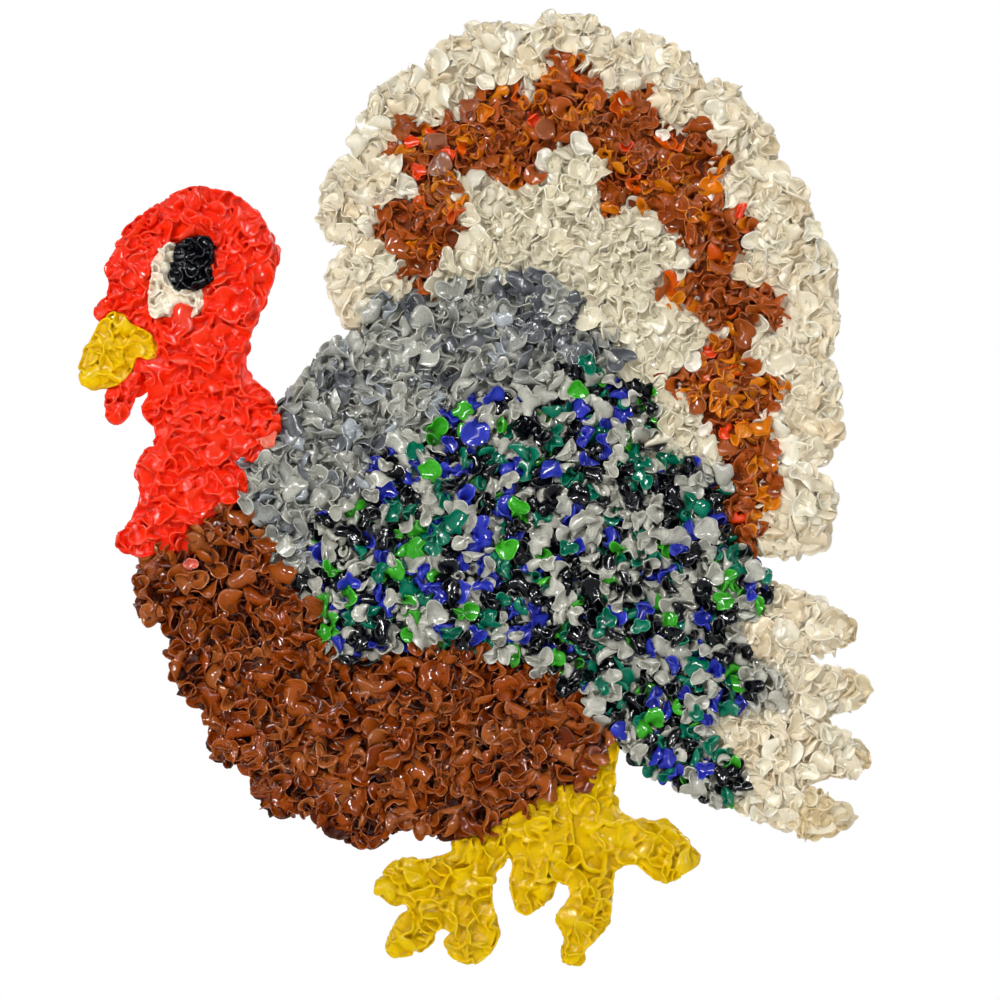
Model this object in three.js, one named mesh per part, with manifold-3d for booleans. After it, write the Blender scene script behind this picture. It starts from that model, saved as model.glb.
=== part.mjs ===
// A wall turkey made of melted plastic chips.
// Chips of each colour were laid side by side in an open mould and fused in an oven.
// Each colour field is one solid with a flat back and a front of cupped chips, and
// each odd chip that shows by itself is a cup of its own in a pocket.
// X runs across, Z runs up, the flat back lies on y = 0 and the front faces -Y.

import * as THREE from 'three';
import { mergeVertices } from 'three/addons/utils/BufferGeometryUtils.js';
import Module from 'manifold-3d';

const wasm = await Module();
wasm.setup();

// Overall size and chip sizes, in millimetres
const OVERALL_HEIGHT = 508;
const CHIP_PITCH = 16;
const EDGE_PITCH = 20;
const CHIP_RADIUS = 5.6;
const CHIP_SEAT = 4;
const CHIP_LIP = 1.2;
const RIM_RISE = 3.4;
const MELTED_RISE = 2;
const EDGE_BULGE = 1.7;
const MELTED_BULGE = 0.9;
const SEAM_GAP = 0.3;
const CUT_OVERRUN = 5;

// Thickness of each colour field, at the height where rim and floor part, in millimetres
const EYE_DEPTH = 11.5;
const BEAK_DEPTH = 11;
const HEAD_DEPTH = 10;
const WING_DEPTH = 11;
const WING_TIP_DEPTH = 8;
const BACK_DEPTH = 10;
const BREAST_DEPTH = 10.5;
const LEG_DEPTH = 9;
const TAIL_BAND_DEPTH = 9;
const TAIL_INNER_DEPTH = 8.5;
const TAIL_RIM_DEPTH = 8;

// Shares that have no unit of their own
const HEIGHT_SHARE = 0.958;
const CHIP_DISH_SHARE = 0.8;
const CHIP_WANDER_SHARE = 0.16;
const LEAST_REACH_SHARE = 0.35;
const CHIP_FOOT_SHARE = 0.72;
const CHIP_LIP_SHARE = 0.78;
const CHIP_LONG_SHARE = 1.12;
const CHIP_SHORT_SHARE = 0.9;
const SCALLOP_POWER_SHARE = 0.62;
const SCALLOP_REACH_SHARE = 0.3;
const SHARPEST_MITRE_SHARE = 0.5;

// Counts of sides
const SIDES_PER_EDGE_CHIP = 3;
const SIDES_PER_CUP = 7;
const POINTS_PER_SCALLOP = 5;

// Multipliers that shuffle the chips
const ACROSS_MIX = 127.1;
const DOWN_MIX = 311.7;
const WAVE_MIX = 43758.5453;

// The mould pattern is drawn on a square, and every outline share below is in thousandths
// of its side, across from the left and down from the top.
const PARTS_PER_SIDE = 1000;
const PATTERN_SIDE = OVERALL_HEIGHT / HEIGHT_SHARE;
const middleShares = [473, 489];
const fanHubShares = [565, 395];

const pupilShares = [
  [176, 244], [196, 237], [213, 241], [215, 254], [210, 264], [212, 280], [203, 288],
  [190, 292], [176, 289], [168, 276], [174, 262],
];
const eyeWhiteShares = [
  [170, 242], [161, 250], [152, 262], [151, 290], [149, 311], [160, 320], [173, 312],
  [194, 318], [204, 304], [201, 290], [194, 268], [184, 252],
];
const beakShares = [
  [97, 330], [104, 318], [119, 311], [131, 325], [146, 331], [158, 349], [153, 362], [138, 355],
  [131, 372], [113, 387], [94, 388], [79, 380], [83, 350],
];
const snoodShares = [
  [111, 382], [128, 374], [144, 372], [133, 398], [129, 416], [117, 426], [104, 414], [105, 398],
];
const headShares = [
  [189, 187], [228, 191], [257, 211], [277, 252], [271, 288], [251, 333], [247, 372], [270, 395],
  [281, 421], [275, 441], [262, 457], [244, 464], [244, 497], [217, 513], [197, 529], [194, 556],
  [168, 550], [141, 558], [114, 540], [131, 522], [139, 497], [135, 463], [158, 433], [141, 412],
  [149, 388], [136, 372], [112, 352], [102, 324], [91, 308], [108, 293], [106, 265], [127, 228],
  [158, 203],
];
const wingShares = [
  [544, 377], [585, 362], [622, 377], [644, 386], [659, 410], [656, 450], [680, 464], [728, 468],
  [724, 500], [724, 540], [752, 554], [771, 580], [756, 612], [738, 622], [741, 650], [762, 662],
  [782, 702], [730, 711], [705, 721], [716, 748], [734, 756], [751, 778], [737, 806], [696, 799],
  [632, 762], [615, 738], [596, 722], [572, 692], [516, 662], [456, 643], [404, 645], [364, 661],
  [327, 645], [322, 612], [292, 588], [314, 571], [317, 532], [336, 509], [374, 505], [370, 480],
  [400, 446], [438, 425], [464, 404],
];
const backShares = [
  [277, 406], [313, 364], [336, 340], [364, 327], [367, 307], [404, 291], [444, 288], [476, 277],
  [512, 282], [546, 271], [564, 289], [584, 292], [584, 314], [604, 328], [624, 366], [586, 392],
  [500, 420], [400, 480], [340, 540], [298, 586], [270, 556], [258, 524], [243, 500], [232, 474],
  [258, 440],
];
const breastShares = [
  [139, 566], [136, 598], [145, 622], [166, 634], [171, 677], [204, 716], [216, 763], [243, 767],
  [256, 795], [278, 817], [302, 811], [344, 842], [374, 846], [388, 831], [412, 833], [457, 841],
  [510, 818], [552, 790], [583, 782], [604, 752], [618, 727], [590, 690], [500, 630], [400, 610],
  [330, 580], [262, 500], [200, 505], [165, 530],
];
const rightLegShares = [
  [618, 740], [615, 776], [622, 814], [645, 821], [673, 823], [690, 845], [704, 860], [692, 868],
  [671, 884], [652, 879], [633, 863], [614, 874], [613, 905], [605, 933], [585, 950], [580, 962],
  [565, 968], [562, 936], [556, 918], [573, 894], [560, 880], [552, 898], [532, 914], [519, 914],
  [509, 884], [513, 864], [504, 842], [520, 796], [560, 764], [596, 730],
];
const leftLegShares = [
  [540, 795], [530, 850], [501, 868], [492, 894], [499, 940], [479, 964], [461, 966], [444, 950],
  [450, 930], [438, 929], [430, 948], [404, 958], [386, 955], [392, 928], [413, 905], [395, 906],
  [374, 893], [378, 878], [400, 860], [426, 860], [452, 852], [454, 834], [480, 800],
];
const wingTipShares = [
  [
    [766, 583], [790, 588], [824, 601], [858, 629], [854, 641], [843, 652], [818, 655], [788, 661],
    [764, 658], [728, 650], [724, 620], [748, 590],
  ],
  [
    [768, 650], [800, 654], [826, 667], [849, 672], [868, 688], [863, 704], [854, 711], [828, 714],
    [798, 717], [762, 708], [748, 676],
  ],
  [
    [738, 700], [790, 703], [812, 715], [837, 729], [873, 754], [866, 771], [854, 778], [824, 777],
    [798, 784], [760, 778], [722, 766], [690, 735], [694, 708],
  ],
  [
    [752, 760], [790, 774], [813, 786], [850, 808], [850, 824], [842, 832], [822, 839], [802, 838],
    [764, 822], [745, 818], [733, 803], [716, 780],
  ],
];
const tailBandShares = [
  [402, 298], [408, 266], [392, 248], [371, 230], [392, 200], [421, 195], [396, 158], [401, 130],
  [432, 117], [457, 122], [461, 95], [476, 82], [490, 89], [507, 79], [528, 99], [544, 71],
  [575, 55], [594, 77], [607, 100], [627, 92], [646, 86], [657, 103], [682, 135], [700, 127],
  [725, 168], [713, 190], [744, 204], [757, 241], [738, 252], [738, 279], [776, 293], [775, 326],
  [752, 332], [754, 358], [782, 375], [774, 403], [762, 415], [770, 435], [777, 468], [768, 500],
  [757, 526], [757, 556], [740, 565], [716, 552], [710, 510], [716, 480], [726, 464], [712, 444],
  [697, 414], [690, 396], [663, 381], [704, 357], [722, 337], [703, 314], [670, 297], [663, 278],
  [683, 268], [680, 230], [642, 207], [606, 217], [600, 199], [606, 172], [578, 143], [549, 157],
  [525, 190], [502, 182], [476, 168], [459, 186], [462, 222], [447, 260], [428, 264], [426, 298],
];
const tailInnerShares = [
  [416, 292], [420, 264], [446, 240], [452, 195], [478, 158], [515, 170], [545, 145], [582, 134],
  [618, 165], [640, 195], [695, 225], [695, 290], [732, 330], [728, 350], [690, 388], [720, 420],
  [745, 466], [690, 480], [640, 440], [600, 380], [560, 320], [490, 310],
];

// The white rim runs from notch to notch round the fan, and each scallop bulges out of
// its chord by its share.
const notchShares = [
  [350, 246], [361, 160], [429, 75], [524, 35], [613, 47], [699, 91], [766, 167], [812, 241],
  [813, 358], [814, 463],
];
const scallopBulgeShares = [33, 28, 26, 26, 28, 29, 18, 25, 28];
const firstScallopShares = [
  [350, 246], [334, 258], [328, 276], [334, 294], [343, 316], [352, 332], [375, 330], [412, 296],
  [414, 272], [396, 244],
];
const lastScallopShares = [
  [814, 466], [829, 478], [835, 497], [833, 522], [823, 551], [792, 555], [756, 553], [742, 540],
  [744, 480], [780, 462],
];

// Places of the chips that show by themselves
const orangeChipShares = [
  [434, 131], [412, 141], [447, 155], [418, 172], [533, 118], [627, 148], [742, 211], [709, 353],
  [727, 431], [739, 521],
];
const pearlChipShares = [[705, 429], [664, 133]];
const pinkChipShares = [[191, 563]];
const smokeChipShares = [[243, 465]];
const silverChipShares = [[379, 527]];
const tealChipShares = [[765, 577]];

const plastic = (color, roughness) => new THREE.MeshStandardMaterial({ color, roughness, metalness: 0 });
const redPlastic = plastic(0xf2412c, 0.35);
const yellowPlastic = plastic(0xdcb80e, 0.35);
const creamPlastic = plastic(0xdccfb2, 0.45);
const whitePlastic = plastic(0xe3dfcf, 0.4);
const blackPlastic = plastic(0x16181f, 0.25);
const brownPlastic = plastic(0x9a4b1c, 0.3);
const amberPlastic = plastic(0xb05a1a, 0.3);
const greyPlastic = plastic(0x9b9d98, 0.4);
const speckledPlastic = plastic(0x2f5a78, 0.3);
const orangePlastic = plastic(0xf04a12, 0.3);
const pearlPlastic = plastic(0xefe6e2, 0.35);
const pinkPlastic = plastic(0xe88a7c, 0.35);
const tealPlastic = plastic(0x0c7f6c, 0.3);

// A repeatable number from -1 to 1 for a pair of whole numbers
function noise(column, row) {
  const wave = Math.sin(column * ACROSS_MIX + row * DOWN_MIX) * WAVE_MIX;
  return 2 * (wave - Math.floor(wave)) - 1;
}

// A place on the pattern, in millimetres from its middle, across and up
function patternPoint([across, down]) {
  const thousandth = PATTERN_SIDE / PARTS_PER_SIDE;
  return new THREE.Vector2((across - middleShares[0]) * thousandth, (middleShares[1] - down) * thousandth);
}

// An outline whose edge swells once for every chip that lies along it
function chipEdge(outlineShares, bulge) {
  const corners = outlineShares.map(patternPoint).map(({ x, y }) => new THREE.Vector3(x, y, 0));
  const curve = new THREE.CatmullRomCurve3(corners, true, 'centripetal');
  const chips = Math.round(curve.getLength() / EDGE_PITCH);
  const count = chips * SIDES_PER_EDGE_CHIP;
  const points = curve.getSpacedPoints(count).slice(0, count).map(({ x, y }) => new THREE.Vector2(x, y));
  const clockwise = THREE.ShapeUtils.isClockWise(points);
  const turned = clockwise ? points.reverse() : points;
  return moveOut(turned, (place) => {
    const chip = Math.floor(place / SIDES_PER_EDGE_CHIP);
    const swell = Math.sin(Math.PI * (place % SIDES_PER_EDGE_CHIP) / SIDES_PER_EDGE_CHIP);
    return bulge * (swell * (1 + noise(chip, chips)) / 2 - 1 / 2);
  });
}

// A counterclockwise outline with every corner moved out so that its sides move by the distance
function moveOut(points, distanceAt) {
  return points.map((point, place) => {
    const before = points[(place + points.length - 1) % points.length];
    const after = points[(place + 1) % points.length];
    const arriving = point.clone().sub(before).normalize();
    const leaving = after.clone().sub(point).normalize();
    const along = arriving.clone().add(leaving).normalize();
    const mitre = Math.max(along.dot(arriving), SHARPEST_MITRE_SHARE);
    const outward = new THREE.Vector2(along.y, -along.x);
    return point.clone().addScaledVector(outward, distanceAt(place) / mitre);
  });
}

// An upright slab on an outline, from one distance in front of the back plane to another
function slab(points, rear, front) {
  const geometry = new THREE.ExtrudeGeometry(new THREE.Shape(points), { depth: front - rear, bevelEnabled: false });
  return geometry.translate(0, 0, rear).rotateX(Math.PI / 2);
}

// A block whose front is a field of cupped chips.
// The front is a net of equal triangles: every third knot is the floor of a chip, and the
// six knots round it are its rim, which it shares with its neighbours.
function chipField(points, depth, rise) {
  const bounds = new THREE.Box2().setFromPoints(points).expandByScalar(CHIP_PITCH);
  const size = bounds.getSize(new THREE.Vector2());
  const step = CHIP_PITCH / Math.sqrt(3);
  const rowStep = step * Math.sqrt(3) / 2;
  const wander = step * CHIP_WANDER_SHARE;
  const rows = Math.ceil(size.y / rowStep);
  const columns = Math.ceil(size.x / step + rows / 2);
  const block = new THREE.BoxGeometry(columns * step, CUT_OVERRUN, rows * rowStep, columns, 1, rows);
  block.translate(columns * step / 2, CUT_OVERRUN / 2, rows * rowStep / 2);
  const knots = block.getAttribute('position');
  for (let index = 0; index < knots.count; index += 1) {
    const column = Math.round(knots.getX(index) / step);
    const row = Math.round(knots.getZ(index) / rowStep);
    const isFloor = (column + row) % 3 === 0;
    const reach = LEAST_REACH_SHARE + (1 - LEAST_REACH_SHARE) * (1 + noise(column, row)) / 2;
    const level = isFloor ? -rise * CHIP_DISH_SHARE * reach : rise * reach;
    knots.setX(index, bounds.min.x + (column - row / 2) * step + wander * noise(row, 2 * column));
    knots.setZ(index, bounds.min.y + row * rowStep + wander * noise(2 * row, column));
    if (knots.getY(index) < CUT_OVERRUN / 2) knots.setY(index, -depth - level);
  }
  return block;
}

// A cupped chip as it is turned: a narrow foot, a flared wall, a lip and a dished floor
function chipCup(depth) {
  const foot = CHIP_RADIUS * CHIP_FOOT_SHARE;
  const lip = CHIP_RADIUS * CHIP_LIP_SHARE;
  const profile = [
    new THREE.Vector2(0, depth - CHIP_SEAT),
    new THREE.Vector2(foot, depth - CHIP_SEAT),
    new THREE.Vector2(CHIP_RADIUS, depth + CHIP_LIP / 2),
    new THREE.Vector2(lip, depth + CHIP_LIP),
    new THREE.Vector2(0, depth - CHIP_LIP),
  ];
  return new THREE.LatheGeometry(profile, SIDES_PER_CUP).rotateX(Math.PI);
}

function toSolid(geometry) {
  const bare = geometry.clone();
  bare.deleteAttribute('normal');
  bare.deleteAttribute('uv');
  const merged = mergeVertices(bare);
  return new wasm.Manifold(new wasm.Mesh({
    numProp: 3,
    vertProperties: merged.getAttribute('position').array,
    triVerts: new Uint32Array(merged.getIndex().array),
  }));
}

function toGeometry(solid) {
  const { vertProperties, triVerts } = solid.getMesh();
  const geometry = new THREE.BufferGeometry();
  geometry.setAttribute('position', new THREE.BufferAttribute(vertProperties, 3));
  geometry.setIndex(new THREE.BufferAttribute(triVerts, 1));
  geometry.computeVertexNormals();
  return geometry;
}

const turkey = new THREE.Group();
const cutters = [];
const deepest = Math.max(
  EYE_DEPTH, BEAK_DEPTH, HEAD_DEPTH, WING_DEPTH, WING_TIP_DEPTH, BACK_DEPTH, BREAST_DEPTH, LEG_DEPTH,
  TAIL_BAND_DEPTH, TAIL_INNER_DEPTH, TAIL_RIM_DEPTH,
);
const tallest = deepest + 2 * Math.max(RIM_RISE, MELTED_RISE, CHIP_LIP);

// A piece of the turkey, cut back by a seam from everything that was laid before it
function addPiece(name, solid, material) {
  const fitted = cutters.reduce((rest, cutter) => rest.subtract(cutter), solid);
  const mesh = new THREE.Mesh(toGeometry(fitted), material);
  mesh.name = name;
  turkey.add(mesh);
}

// A chip that shows by itself, seated in a pocket of the field that carries it
function layChip(name, [across, down], depth, material) {
  const place = patternPoint([across, down]);
  const turn = Math.PI * noise(across, down);
  const seated = chipCup(depth)
    .scale(CHIP_LONG_SHARE, 1, CHIP_SHORT_SHARE)
    .rotateY(turn)
    .translate(place.x, 0, place.y);
  addPiece(name, toSolid(seated), material);
  const rim = Array.from({ length: SIDES_PER_CUP }, (_, side) => {
    const angle = 2 * Math.PI * side / SIDES_PER_CUP;
    return new THREE.Vector2(Math.sin(angle) * CHIP_LONG_SHARE, -Math.cos(angle) * CHIP_SHORT_SHARE)
      .multiplyScalar(CHIP_RADIUS)
      .rotateAround(new THREE.Vector2(), -turn)
      .add(place);
  });
  cutters.push(toSolid(slab(moveOut(rim, () => SEAM_GAP), depth - CHIP_SEAT - SEAM_GAP, tallest + CUT_OVERRUN)));
}

function layChips(name, placeShares, depth, material) {
  placeShares.forEach((place, index) => layChip(`${name}_${index + 1}`, place, depth, material));
}

// A colour field, which later fields keep a seam's distance from
function layField(name, outlineShares, depth, { rise, bulge, material }) {
  const edge = chipEdge(outlineShares, bulge);
  const field = toSolid(slab(edge, 0, depth + 2 * rise)).intersect(toSolid(chipField(edge, depth, rise)));
  addPiece(name, field, material);
  cutters.push(toSolid(slab(moveOut(edge, () => SEAM_GAP), -CUT_OVERRUN, tallest + CUT_OVERRUN)));
}

// One scallop of the white rim: round from notch to notch, and straight in towards the fan's hub
function scallopShares(start, end, bulge) {
  const chord = new THREE.Vector2(end[0] - start[0], end[1] - start[1]);
  const outward = new THREE.Vector2(chord.y, -chord.x).normalize();
  const arc = Array.from({ length: POINTS_PER_SCALLOP }, (_, place) => {
    const angle = Math.PI * (place + 1 / 2) / POINTS_PER_SCALLOP;
    const along = Math.sign(Math.cos(angle)) * Math.abs(Math.cos(angle)) ** SCALLOP_POWER_SHARE;
    const out = Math.sin(angle) ** SCALLOP_POWER_SHARE * bulge;
    return [
      start[0] + chord.x * (1 - along) / 2 + outward.x * out,
      start[1] + chord.y * (1 - along) / 2 + outward.y * out,
    ];
  });
  const inward = ([across, down]) => [
    across + (fanHubShares[0] - across) * SCALLOP_REACH_SHARE,
    down + (fanHubShares[1] - down) * SCALLOP_REACH_SHARE,
  ];
  return [start, ...arc, end, inward(end), inward(start)];
}

const crisp = (material) => ({ rise: RIM_RISE, bulge: EDGE_BULGE, material });
const melted = (material) => ({ rise: MELTED_RISE, bulge: MELTED_BULGE, material });

layChips('orange_chip', orangeChipShares, TAIL_BAND_DEPTH, orangePlastic);
layChips('pearl_chip', pearlChipShares, TAIL_BAND_DEPTH, pearlPlastic);
layChips('pink_chip', pinkChipShares, HEAD_DEPTH, pinkPlastic);
layChips('smoke_chip', smokeChipShares, BACK_DEPTH, greyPlastic);
layChips('silver_chip', silverChipShares, WING_DEPTH, greyPlastic);
layChips('teal_chip', tealChipShares, WING_DEPTH, tealPlastic);

layField('eye_pupil', pupilShares, EYE_DEPTH, melted(blackPlastic));
layField('eye_white', eyeWhiteShares, EYE_DEPTH, melted(creamPlastic));
layField('beak', beakShares, BEAK_DEPTH, melted(yellowPlastic));
layField('snood', snoodShares, HEAD_DEPTH, melted(redPlastic));
layField('head_and_neck', headShares, HEAD_DEPTH, melted(redPlastic));
layField('wing', wingShares, WING_DEPTH, crisp(speckledPlastic));
layField('back', backShares, BACK_DEPTH, crisp(greyPlastic));
layField('breast', breastShares, BREAST_DEPTH, crisp(brownPlastic));
layField('right_leg', rightLegShares, LEG_DEPTH, melted(yellowPlastic));
layField('left_leg', leftLegShares, LEG_DEPTH, melted(yellowPlastic));
wingTipShares.forEach((outline, index) => {
  layField(`wing_tip_${index + 1}`, outline, WING_TIP_DEPTH, crisp(creamPlastic));
});
layField('tail_band', tailBandShares, TAIL_BAND_DEPTH, crisp(amberPlastic));
layField('tail_inner', tailInnerShares, TAIL_INNER_DEPTH, crisp(whitePlastic));
[
  firstScallopShares,
  ...scallopBulgeShares.map((bulge, index) => scallopShares(notchShares[index], notchShares[index + 1], bulge)),
  lastScallopShares,
].forEach((outline, index) => {
  layField(`tail_scallop_${index + 1}`, outline, TAIL_RIM_DEPTH, crisp(creamPlastic));
});

export default turkey;
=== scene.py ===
"""A turkey wall decoration made of melted plastic chips, dressed over its solids."""
import math
from types import SimpleNamespace

import bmesh
import bpy
import numpy as np
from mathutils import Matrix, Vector
from mathutils.bvhtree import BVHTree
from mathutils.kdtree import KDTree


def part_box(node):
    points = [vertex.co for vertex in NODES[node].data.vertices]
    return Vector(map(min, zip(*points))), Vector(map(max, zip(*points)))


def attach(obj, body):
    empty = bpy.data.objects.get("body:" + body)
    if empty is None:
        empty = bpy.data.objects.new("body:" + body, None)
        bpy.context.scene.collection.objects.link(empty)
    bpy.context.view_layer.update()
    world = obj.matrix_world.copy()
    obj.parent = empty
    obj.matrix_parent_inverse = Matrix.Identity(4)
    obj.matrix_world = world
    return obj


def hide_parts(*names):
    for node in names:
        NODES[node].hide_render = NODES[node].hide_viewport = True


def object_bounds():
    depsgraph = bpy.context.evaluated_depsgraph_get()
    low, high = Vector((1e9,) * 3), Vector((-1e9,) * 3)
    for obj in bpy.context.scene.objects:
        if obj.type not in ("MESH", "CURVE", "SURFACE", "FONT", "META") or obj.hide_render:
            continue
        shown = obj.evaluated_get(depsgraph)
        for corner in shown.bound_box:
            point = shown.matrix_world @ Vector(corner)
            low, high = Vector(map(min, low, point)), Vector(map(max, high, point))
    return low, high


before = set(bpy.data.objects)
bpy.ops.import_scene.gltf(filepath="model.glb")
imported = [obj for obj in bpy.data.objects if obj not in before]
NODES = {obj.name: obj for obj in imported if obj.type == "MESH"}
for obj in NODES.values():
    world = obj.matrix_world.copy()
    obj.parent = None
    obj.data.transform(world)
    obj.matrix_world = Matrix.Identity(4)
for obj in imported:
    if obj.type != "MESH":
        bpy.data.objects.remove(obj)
cad_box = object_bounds()

# Scale and place of the photograph
MM = 0.001
PIXEL = 0.53027 * MM
MIDDLE_PIXEL = (473, 489)
IMAGE_PIXELS = 1000

# Where the random numbers of every field start
SEED = 11

# How the outlines of the solids are read
WELD = 1e-6
FLAT = 1e-5
RAY_START = 50 * MM
RAY_REACH = 60 * MM
RIM_STEP = 0.5 * MM
NEAR_OUTSIDE = 1.2 * MM
SMOOTH_CORNER_PIXEL = (185, 380)
HOLD_STEPS = 8

# Sheets of the chips
TRIES_PER_SPOT = 40
GRID_CROWDING = 0.85
BEND_STEPS = 10
RIM_THICKNESS_SHARE = 0.62
RIM_ROUND_SHARE = 0.7
# Share of the painted rim highlight on a chip's border
BORDER_HIGHLIGHT_SHARE = 0.7
LEAST_HEIGHT = 0.3 * MM
BACK_UNEVENNESS = 0.25 * MM
TINY = 1e-12

# How far the chips of a layer vary
TILT_SPREAD_SHARE = 0.5
CUPPED_SHARE = 0.8
SWIRL = 0.3
LOBES = (2, 3, 4, 5)
LOBE_SIZE = 0.24
SHADES = (0.88, 1.1)
# Strength of the painted rim highlight, chip by chip
RIM_HIGHLIGHT_GAINS = (0.25, 1.0)
# Share of the chips with the painted shade of a dimple in the middle
SHADED_DIMPLE_SHARE = 0.02

# How chips settle behind one another, and how deep those of one field may sink into each other
SETTLE_CELL = 0.5 * MM
SETTLE_GAP = 0.2 * MM
MAP_MARGIN = 30 * MM
FINER = 3
EASE_ROUNDS = 2
EASE_SHARE = 0.9
BITE = 4.6 * MM
BITES = {"wing": 0.0, "band": 2.4 * MM}

# Beds behind the chips
BED_BACK = 0.9 * MM
BED_INSET = 2.0 * MM
BED_DEPTH = 3.0 * MM
PALE_BED_DEPTH = 4.6 * MM
MELTED_BED_INSET = 1.7 * MM
WALLED_BED_INSET = 0.2 * MM
MELTED_BED_SHARE = 0.62
SHARPEST_CORNER_SHARE = 0.6
# Beds of the darker plastics are darkened by this share: painted shade between the chips
BED_SHADE_SHARE = 0.5
PALE_SLOTS = ("cream_plastic", "white_plastic")

# Fused skins
FUSED_LAYERS = 4
FUSE_VOXEL = 0.46 * MM
LEG_VOXEL = 0.52 * MM
EYE_VOXEL = 0.42 * MM
SOFTEN_FACTOR = 0.5
# How the painted highlight on the skins' ridges and the painted shade in their creases are found
BULGE_ROUNDS = 2
RIDGE_BULGE = 0.1 * MM
RIDGE_SHARE = 0.5
CREASE_SHARE = 0.4
EVEN_ROUNDS = 80
EVEN_RELIEF = 1.6 * MM
EVEN_SHARE = 0.6

# How the chips and skins of a node are cut into pieces
MOST_TRIANGLES = 180_000
SLACK_SHARE = 1e-9


def linear(red, green, blue):
    """A colour given as 0 to 255 display values, as linear light."""
    shown = np.array([red, green, blue]) / 255
    return tuple(np.where(shown <= 0.04045, shown / 12.92, ((shown + 0.055) / 1.055) ** 2.4))


# Colours of the chips, with the share of the chips that have each
BROWNS = [(0.5, (154, 74, 18)), (0.25, (142, 60, 4)), (0.25, (158, 84, 32))]
# The mid and deep browns and the deep ambers are painted shade: darker copies of the chips' colours for the
# layers behind the top one
SHADED_MID_BROWNS = [(0.7, (122, 47, 0)), (0.3, (96, 33, 0))]
SHADED_DEEP_BROWNS = [(1.0, (62, 15, 0))]
RUSSETS = [(0.92, (170, 81, 24)), (0.08, (222, 124, 6))]
AMBERS = [(0.3, (206, 112, 4)), (0.7, (146, 66, 14))]
SHADED_DEEP_AMBERS = [(0.5, (160, 66, 0)), (0.5, (112, 42, 0))]
HONEYS = [(0.4, (212, 122, 10)), (0.12, (212, 84, 0)), (0.48, (158, 80, 30))]
GREYS = [
    (0.5, (174, 174, 164)), (0.32, (148, 149, 142)), (0.1, (100, 103, 107)), (0.08, (158, 164, 169)),
]
DARK_GREYS = [(0.75, (92, 95, 100)), (0.25, (160, 162, 156))]
SPECKLES = [
    (0.36, (186, 185, 173)), (0.3, (6, 8, 14)), (0.145, (0, 114, 86)), (0.135, (38, 50, 172)),
    (0.06, (56, 164, 34)),
]
WHITES = [(0.6, (226, 218, 193)), (0.4, (219, 210, 184))]
TANS = [(0.7, (215, 194, 150)), (0.3, (225, 210, 174))]
SMOKY_WHITES = [(1.0, (190, 186, 172))]
CREAMS = [(0.5, (230, 219, 193)), (0.3, (232, 225, 203)), (0.2, (223, 207, 175))]
REDS = [(1.0, (250, 48, 10))]
YELLOWS = [(1.0, (226, 188, 0))]
BEAK_YELLOWS = [(1.0, (238, 194, 0))]
BLACKS = [(1.0, (6, 7, 13))]
EYE_CREAMS = [(1.0, (238, 228, 206))]
ORANGES = [(1.0, (238, 70, 12))]
PEARLS = [(1.0, (234, 223, 208))]
PINKS = [(1.0, (226, 110, 90))]
SMOKES = [(1.0, (104, 104, 108))]
SILVERS = [(1.0, (180, 180, 172))]
TEALS = [(1.0, (0, 118, 92))]

# Colours of the chips that are placed one by one
PALE_GREY = (180, 179, 168)
SLATE = (98, 100, 104)
ICE = (172, 178, 183)
IVORY = (230, 221, 198)
SNOW = (226, 221, 203)
BLUSH = (236, 128, 106)
CORAL = (238, 66, 42)
GREEN = (60, 172, 34)
BLUE = (40, 54, 176)
CHESTNUT = (150, 72, 24)

# Chips that stand out in the photograph: across and down in pixels, radius in millimetres, tilt, colour
NOTED = {
    "rim": [(485, 84, 5.4, 0.3, IVORY), (779, 255, 6.0, 0.3, IVORY), (404, 184, 6.4, 0.9, SNOW)],
    "inner": [
        (545, 160, 6.0, 0.3, SNOW), (472, 176, 6.6, 0.7, SNOW), (578, 146, 7.6, 0.7, SNOW),
        (693, 362, 5.4, 0.3, SNOW), (458, 238, 7.0, 0.6, SNOW),
    ],
    "back": [
        (415, 303, 7.4, 0.3, SLATE), (474, 340, 7.0, 0.3, SLATE), (533, 335, 7.2, 0.35, SLATE),
        (536, 277, 6.6, 0.4, SLATE), (342, 390, 8.0, 0.3, SLATE), (293, 424, 7.2, 0.5, SLATE),
        (575, 300, 6.0, 0.8, SLATE), (500, 322, 7.0, 0.3, ICE), (500, 351, 7.0, 0.3, ICE),
        (566, 351, 6.4, 0.4, ICE), (392, 312, 6.6, 0.7, ICE), (352, 430, 6.4, 0.4, ICE),
        (295, 488, 7.8, 0.15, PALE_GREY), (435, 330, 5.4, 0.4, SLATE),
    ],
    "wing": [
        (705, 510, 6.4, 0.3, (0, 120, 92)), (708, 531, 7.2, 0.4, PALE_GREY), (723, 475, 6.4, 0.5, PALE_GREY),
        (579, 388, 6.4, 0.4, GREEN), (493, 396, 6.0, 0.4, (44, 60, 184)), (551, 472, 6.6, 0.4, BLUE),
        (475, 432, 8.0, 0.7, BLUE), (435, 610, 8.0, 0.5, PALE_GREY), (430, 470, 6.2, 0.5, GREEN),
        (418, 548, 6.2, 0.6, (52, 160, 34)), (350, 598, 7.0, 0.8, GREEN), (455, 522, 7.0, 0.4, (0, 114, 88)),
        (508, 548, 6.8, 0.4, GREEN),
    ],
    "breast": [(312, 608, 6.6, 0.3, CHESTNUT), (242, 578, 7.0, 0.3, CHESTNUT)],
    "band": [
        (440, 165, 6.4, 0.1, (146, 100, 76)), (470, 110, 6.6, 0.4, (150, 82, 44)),
        (436, 142, 6.6, 0.3, (150, 96, 70)), (546, 128, 6.4, 0.5, (156, 88, 52)),
    ],
    "head": [(267, 438, 6.0, 0.7, BLUSH), (182, 317, 7.4, 0.35, CORAL)],
}

# Those of them that have the painted shade of a dimple in the middle
SHADED_DIMPLES = [(485, 84), (779, 255), (545, 160), (312, 608), (242, 578)]

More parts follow.
